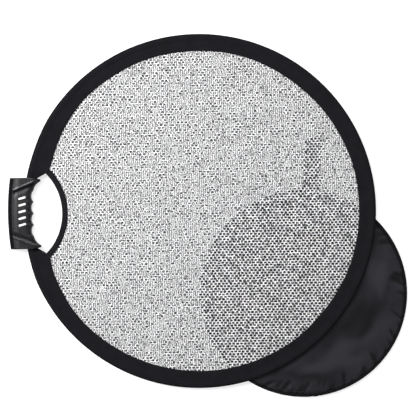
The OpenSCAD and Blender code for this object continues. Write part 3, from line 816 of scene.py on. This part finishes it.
def build_grip(material, ink):
    """The front of the grip as one moulded skin, and the printed bars on it."""
    t = np.linspace(-1, 1, 300)
    y = GRIP_HALF * np.sign(t) * (1 - (1 - np.abs(t)) ** 1.12)
    back, finger = grip_sides(y)
    # places across the grip: in from its back, and in from its finger side
    near = np.array([0, 0.25, 0.6, 1.1, 2.2, 4, 6, 8, 9.5, 10.6, 11.2, 11.5, 11.9, 12.8, 14]) * MM
    far = np.array([14, 12.5, 11, 9, 7, 5, 3.4, 2.2, 1.2, 0.6, 0.25, 0.08, 0]) * MM
    middle = np.linspace(0, 1, 22)[1:-1]
    left, right = back[:, None], finger[:, None]
    between = left + near[-1] + (right - far[0] - left - near[-1]) * middle
    x = np.concatenate([left + near, between, right - far], 1)
    yy = np.broadcast_to(y[:, None], x.shape)
    z = DISC.z + grip_height(x, yy, left, right)
    rows, columns = x.shape
    points = np.stack([DISC.x + x, DISC.y + yy, z], -1).reshape(-1, 3)
    points[:, 2] = np.minimum(points[:, 2], GRIP_HIGH.z)
    foot = np.stack([DISC.x + x[:, [0, -1]], DISC.y + yy[:, [0, -1]], np.full((rows, 2), DISC.z)], -1)
    faces = grid_faces(rows, columns)
    base = len(points)
    points = np.concatenate([points, foot.reshape(-1, 3)])
    faces += [[r * columns, (r + 1) * columns, base + 2 * r + 2, base + 2 * r] for r in range(rows - 1)]
    faces += [[r * columns + columns - 1, (r + 1) * columns + columns - 1, base + 2 * r + 3, base + 2 * r + 1]
              for r in range(rows - 1)]
    faces += [[r * columns + k for k in range(columns)] + [base + 2 * r + 1, base + 2 * r]
              for r in (0, rows - 1)]
    cover = make_piece("grip_front_cover", points, faces, material)
    body = np.concatenate([np.clip((x - left) / (22 * MM), 0, 1).ravel(), np.tile([0.0, 1.0], rows)])
    past = past_crease(x, yy)
    # Painted shade for the material to dim the reflection by: a band below each collar's crease, wider under
    # the upper one, and a strip along the finger side.
    width = np.where(yy < 0, 1.5 * MM, np.where(past > 0, 0.9 * MM, 6 * MM))
    crease = np.exp(-((past + np.where(yy < 0, 3.4 * MM, 0.7 * MM)) / width) ** 2)
    crease = crease * smooth_step(x - left, 9 * MM, 13 * MM)
    crease = np.maximum(crease, 0.95 * (1 - smooth_step(right - x, 1 * MM, 6 * MM)))
    set_shades(cover, "body", body)
    set_shades(cover, "crease", np.concatenate([crease.ravel(), np.zeros(2 * rows)]))
    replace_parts(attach(cover, "grip_end"), "grip_front_shell")
    build_mark(ink)


def build_mark(ink):
    """Five slanting printed bars with rounded ends, lying on the grip's curved face."""
    low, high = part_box("grip_mark")
    centre = (low + high) / 2 - DISC
    pitch, half_l, half_w, steps = 15 * MM, 8.6 * MM, 2.35 * MM, 26
    slant = math.atan2(5, 18)
    points, faces = [], []
    for bar in range(-2, 3):
        s = np.linspace(-half_l, half_l, steps)
        w = half_w * np.sqrt(np.clip(1 - np.clip((np.abs(s) - half_l + half_w) / half_w, 0, 1) ** 2, 0.02, 1))
        for side in (-1, 0, 1):
            x = centre.x + s * math.cos(slant) - side * w * math.sin(slant)
            y = centre.y + bar * pitch + s * math.sin(slant) + side * w * math.cos(slant)
            finger = np.full(steps, 24 * MM - DISC_R)
            back = GRIP_BACK + (GRIP_END_BACK - GRIP_BACK) * (y / GRIP_HALF) ** 2
            z = grip_height(x, y, back, finger) + 0.14 * MM
            points.append(np.stack([DISC.x + x, DISC.y + y, DISC.z + z], 1))
        faces += grid_faces(3, steps, first=(bar + 2) * 3 * steps)
    mark = make_piece("grip_bars", np.concatenate(points), faces, ink)
    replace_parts(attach(mark, "grip_end"), "grip_mark")


# ---- pouch

# soft ridges and hollows of the empty pouch, in mm and degrees: x and y from its centre, direction,
# length, width, and height, which is negative for a hollow
FOLDS = [
    (115, -120, 28, 90, 16, 1.5), (60, -165, 12, 80, 11, 1.3), (150, -60, 62, 80, 14, -1.4),
    (175, 20, 80, 70, 12, 1.2), (95, -70, 40, 70, 18, -1.2), (-20, -185, -8, 75, 12, -1.2),
    (120, 95, 120, 80, 16, 1.1), (-120, -90, 130, 100, 18, 1.3), (-60, 60, 35, 120, 22, -1.2),
    (-150, 40, 95, 90, 16, 1.1), (10, 150, 5, 100, 16, 1.2), (20, -40, 70, 110, 20, 1.1),
]


def pouch_top_height(x, y):
    """Height of the pouch's upper cloth: soft folds, and puckers drawn in along the seam."""
    r = np.hypot(x, y)
    a = np.arctan2(y, x)
    height = noise_at(x * 12 + 3, y * 12) * 0.9 * MM + noise_at(x * 38, y * 38, 2.0) * 0.35 * MM
    warp = noise_at(x * 16, y * 16, 7.0) * 14 * MM
    for fx, fy, turn, length, width, rise in FOLDS:
        c, s = math.cos(math.radians(turn)), math.sin(math.radians(turn))
        u = (x - fx * MM) * c + (y - fy * MM) * s
        v = -(x - fx * MM) * s + (y - fy * MM) * c + warp
        height = height + rise * MM * np.exp(-(u / (length * MM)) ** 2 - (v / (width * MM)) ** 2)
    edge = smooth_step(r, 0.80 * PANEL_R, 0.955 * PANEL_R)
    skew = a + 0.5 * (r / PANEL_R - 1)
    reach = noise_at(np.cos(a) * 9, np.sin(a) * 9, 5.0) * 0.1 * PANEL_R
    drawn = np.clip(noise_at(np.cos(skew) * 19, np.sin(skew) * 19, r * 22) - 0.06, 0, 1)
    drawn = drawn * smooth_step(r + reach, 0.86 * PANEL_R, 0.95 * PANEL_R) * 7.5 * MM
    height = height * (1 - 0.3 * edge) - drawn
    height = 8.9 * MM + 2.3 * MM * np.tanh(height / (2.0 * MM))  # kept between the panel's two levels
    seam = np.exp(-((r - PANEL_R + 6 * MM) / (1.6 * MM)) ** 2)
    return np.clip(height - 0.5 * MM * seam - 1.0 * MM * smooth_step(r, 0.975 * PANEL_R, PANEL_R),
                   6.2 * MM, PANEL_HIGH.z - 0.05 * MM)


def build_pouch_panel(name, node, material, upper):
    """A round panel of the pouch: the folded upper one, or the flat lower one that lies on the floor."""
    rings, spokes = 110, 360
    r = PANEL_R * np.linspace(0.004, 1.0, rings) ** 0.8
    a = np.linspace(0, 2 * math.pi, spokes, endpoint=False)
    x = r[:, None] * np.cos(a)[None, :]
    y = r[:, None] * np.sin(a)[None, :]
    if upper:
        z = pouch_top_height(x, y)
        # Painted shade for the folds: low places darker, high ones paler.
        fold = smooth_step(z, 6.4 * MM, 10.6 * MM)
    else:
        z = BASE_LOW.z + 1.6 * MM * smooth_step(np.hypot(x, y), 0.975 * PANEL_R, PANEL_R)
        z = z + np.clip(noise_at(x * 20, y * 20, 9.0), 0, 1) * 0.5 * MM
        fold = 0.5 + 0.4 * noise_at(x * 14, y * 14, 11.0)
    points = np.stack([POUCH.x + x, POUCH.y + y, z], -1).reshape(-1, 3)
    faces = grid_faces(rings, spokes, False, True)
    points = np.concatenate([points, [[POUCH.x, POUCH.y, points[0][2]]]])
    faces += [[len(points) - 1, k, (k + 1) % spokes] for k in range(spokes)]
    piece = make_piece(name, points, faces, material)
    set_shades(piece, "fold", [*fold.ravel(), fold[0, 0]])
    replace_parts(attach(piece, "pouch"), node)


def build_pouch_edges(binding, tape, coil, thread):
    """Bound edges, gusset, zip tapes, zip coils and the seam of the pouch."""
    def wavy(angles, radius, height):
        wave = noise_at(np.cos(np.radians(angles)) * 22, np.sin(np.radians(angles)) * 22)[:, None]
        small = noise_at(np.cos(np.radians(angles)) * 90, np.sin(np.radians(angles)) * 90, 4.0)[:, None]
        return radius + (wave * 0.35 + small * 0.18) * MM, height

    inner = PANEL_R - 1.2 * MM
    for which, z in BINDING_Z.items():
        section = oval((inner + BINDING_R) / 2, z, (BINDING_R - inner) / 2, 0.95 * MM, 14, 2.6)
        piece = ring_piece(f"pouch_binding_{which}", POUCH, section, 0, 360, binding,
                           720, wavy)
        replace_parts(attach(piece, "pouch"), f"pouch_{which}_binding")
    section = oval(POUCH_R - 2.6 * MM, 5.4 * MM, 2.4 * MM, 1.85 * MM, 12, 3)
    gusset = ring_piece("pouch_side_gusset", POUCH, section, ZIP_TO + 2, ZIP_FROM - 2 + 360, binding,
                        420, wavy)
    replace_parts(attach(gusset, "pouch"), "pouch_gusset")
    for which, z in ZIP_TAPE_Z.items():
        section = oval(PANEL_R + 2.5 * MM, z, 2.5 * MM, 0.32 * MM, 10, 5)
        piece = ring_piece(f"zip_cloth_{which}", POUCH, section, ZIP_FROM, ZIP_TO, tape, 300)
        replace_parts(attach(piece, "pouch"), f"zip_tape_{which}")
    build_zip_coils(coil)
    seam = ring_stitches("pouch_stitches", POUCH, PANEL_R - 6.1 * MM, 0, 0, 360, 4.4 * MM, thread,
                         length=2.4, width=0.8)
    co = np.array([v.co for v in seam.data.vertices])
    co[:, 2] += pouch_top_height(co[:, 0] - POUCH.x, co[:, 1] - POUCH.y) + 0.05 * MM
    co[:, 2] = np.minimum(co[:, 2], STITCH_TOP)
    seam.data.vertices.foreach_set("co", co.ravel())
    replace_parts(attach(seam, "pouch"), "pouch_seam")


def build_zip_coils(material):
    """Two rows of rounded zip elements that mesh at the pouch's edge."""
    pitch = 2.2 * MM
    count = int(math.radians(ZIP_TO - ZIP_FROM) * POUCH_R / pitch)
    for which, shift in (("upper", 0.0), ("lower", 0.5)):
        angles = ZIP_FROM + (np.arange(count) + shift) * (ZIP_TO - ZIP_FROM) / count
        out = np.stack([np.cos(np.radians(angles)), np.sin(np.radians(angles)), 0 * angles], 1)
        places = around(POUCH, POUCH_R - 1.7 * MM, angles, ZIP_COIL_Z[which])
        ups = np.tile([0, 0, 1.0], (count, 1))
        points, faces = stitch_solids(places, out, ups, 3.0 * MM, 1.35 * MM, 1.0 * MM)
        piece = make_piece(f"zip_elements_{which}", points, faces, material)
        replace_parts(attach(piece, "pouch"), f"zip_coil_{which}")


def build_strap(webbing):
    """Ribbed webbing folded flat on itself, rounded at the fold."""
    low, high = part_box("strap_webbing")
    lean = math.radians(-4.5)
    width, thick = 39 * MM, 1.4 * MM
    along = np.array([-math.sin(lean), math.cos(lean), 0])
    across = np.array([math.cos(lean), math.sin(lean), 0])
    end = np.array([high.x - width / 2 * math.cos(lean), high.y, 0]) - along * 1.2 * MM
    middle = thick + 0.3 * MM
    run = np.linspace(high.y - low.y - 1.5 * MM, 0, 90)
    turn = np.linspace(-math.pi / 2, math.pi / 2, 12)[1:-1]
    radius = middle - thick / 2
    path = [(s, thick / 2) for s in run]
    path += [(-math.cos(t) * radius, middle + math.sin(t) * radius) for t in turn]
    path = np.array(path + [(s, 2 * middle - thick / 2) for s in run[::-1]])
    step = np.gradient(path, axis=0)
    step /= np.linalg.norm(step, axis=1)[:, None]
    normal = np.stack([step[:, 1], -step[:, 0]], 1)
    w = np.linspace(-0.5, 0.5, 55)
    rib = 0.07 * MM * np.cos(w * 2 * math.pi * 9)
    half = thick * 0.42 * np.clip((0.5 - np.abs(w)) * 25, 0.35, 1) + rib
    half = half[None, :] + 0.03 * MM * np.sin(np.arange(len(path)) * 1.9)[:, None]
    w = w * (width - 0.6 * MM)

    def face(sign):
        flat = path[:, None, :] + sign * normal[:, None, :] * half[..., None]
        return (end[None, None, :] - along * flat[..., 0:1] + across * w[None, :, None]
                + np.array([0, 0, 1.0]) * flat[..., 1:2])

    points, faces = sweep(np.concatenate([face(1), face(-1)[:, ::-1]], 1), False)
    points[:, 2] = np.maximum(points[:, 2], 0.05 * MM)
    piece = make_piece("strap_ribbon", points, faces, webbing)
    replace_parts(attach(piece, "pouch"), "strap_webbing")


# ---- CAD nodes that stay


def dress(node, material):
    """Gives a CAD node that stays a better material."""
    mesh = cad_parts[node].data
    mesh.materials.clear()
    mesh.materials.append(material)


# ---- build

add_camera()
add_light()
add_floor()

band = cloth_material("band_weave", (0.0068, 0.0066, 0.0084), (0.0095, 0.0092, 0.0118), 0.55 * MM, 0.9, 0.02,
                      turn=0.4, shine=0.1)
tape = cloth_material("tape_weave", (0.008, 0.008, 0.01), (0.0115, 0.011, 0.0135), 0.8 * MM, 0.88, 0.02,
                      turn=0.78, shine=0.1)
edge = cloth_material("edge_weave", (0.003, 0.003, 0.004), (0.006, 0.006, 0.0075), 0.6 * MM, 0.9, 0.0,
                      turn=0.2, shine=0.06)
thread = cloth_material("thread_twist", (0.01, 0.01, 0.013), (0.017, 0.017, 0.021), 0.3 * MM, 0.7, 0.02,
                        turn=0.6, shine=0.15)
light_thread = cloth_material("pouch_thread", (0.02, 0.02, 0.025), (0.04, 0.04, 0.048), 0.3 * MM, 0.6, 0.1,
                              turn=0.6)
silver = net_material()
satin = satin_material()
binding = cloth_material("binding_weave", (0.003, 0.003, 0.0038), (0.006, 0.0058, 0.0072), 0.6 * MM, 0.85,
                         0.02, turn=0.3, shine=0.1)
webbing = cloth_material("webbing_weave", (0.020, 0.020, 0.023), (0.034, 0.034, 0.038), 1.3 * MM, 0.8, 0.15,
                         turn=0.08, relief=0.7)
zip_cloth = cloth_material("zip_weave", (0.010, 0.010, 0.012), (0.015, 0.015, 0.018), 0.7 * MM)
coil = plastic_material("coil_nylon", (0.02, 0.02, 0.023), (0.035, 0.035, 0.04), 0.42)
plastic = grip_material()
plastic_back = plastic_material("grip_back_moulding", (0.007, 0.007, 0.0085), (0.01, 0.01, 0.012), 0.4, 0.08)
clamp = plastic_material("clamp_moulding", (0.06, 0.06, 0.066), (0.075, 0.075, 0.082), 0.5)
ink = plastic_material("mark_ink", (0.78, 0.78, 0.78), (0.86, 0.86, 0.86), 0.45)
steel = metal_material("spring_steel", (0.42, 0.43, 0.45), 0.3)
sleeve = metal_material("ferrule_metal", (0.6, 0.6, 0.62), 0.3)
zinc = metal_material("zinc_plate", (0.62, 0.62, 0.64), 0.25)
slider = metal_material("slider_paint", (0.07, 0.07, 0.075), 0.35)

build_net(silver)
build_band("band_front", 1, band)
build_band("band_back", -1, band)
build_edge_cord(edge)
build_hoop(steel)
build_rim_stitches(thread)
arc_strip("hole_tape_front", 1, tape)
arc_strip("hole_tape_back", -1, tape)
build_hole_edge(edge, thread)
build_bartacks(thread)
build_grip(plastic, ink)
build_pouch_panel("pouch_upper_cloth", "pouch_top_panel", satin, True)
build_pouch_panel("pouch_lower_cloth", "pouch_bottom_panel", satin, False)
build_pouch_edges(binding, zip_cloth, coil, light_thread)
build_strap(webbing)

for node, material in (("splice_ferrule", sleeve), ("ferrule_rivets", zinc), ("hoop_clamp_front", clamp),
                       ("hoop_clamp_back", clamp), ("grip_screws", zinc), ("grip_back_shell", plastic_back),
                       ("zip_end_stops", slider), ("strap_anchor_tab", webbing), ("zip_slider", slider),
                       ("zip_pull_tab", slider)):
    dress(node, material)
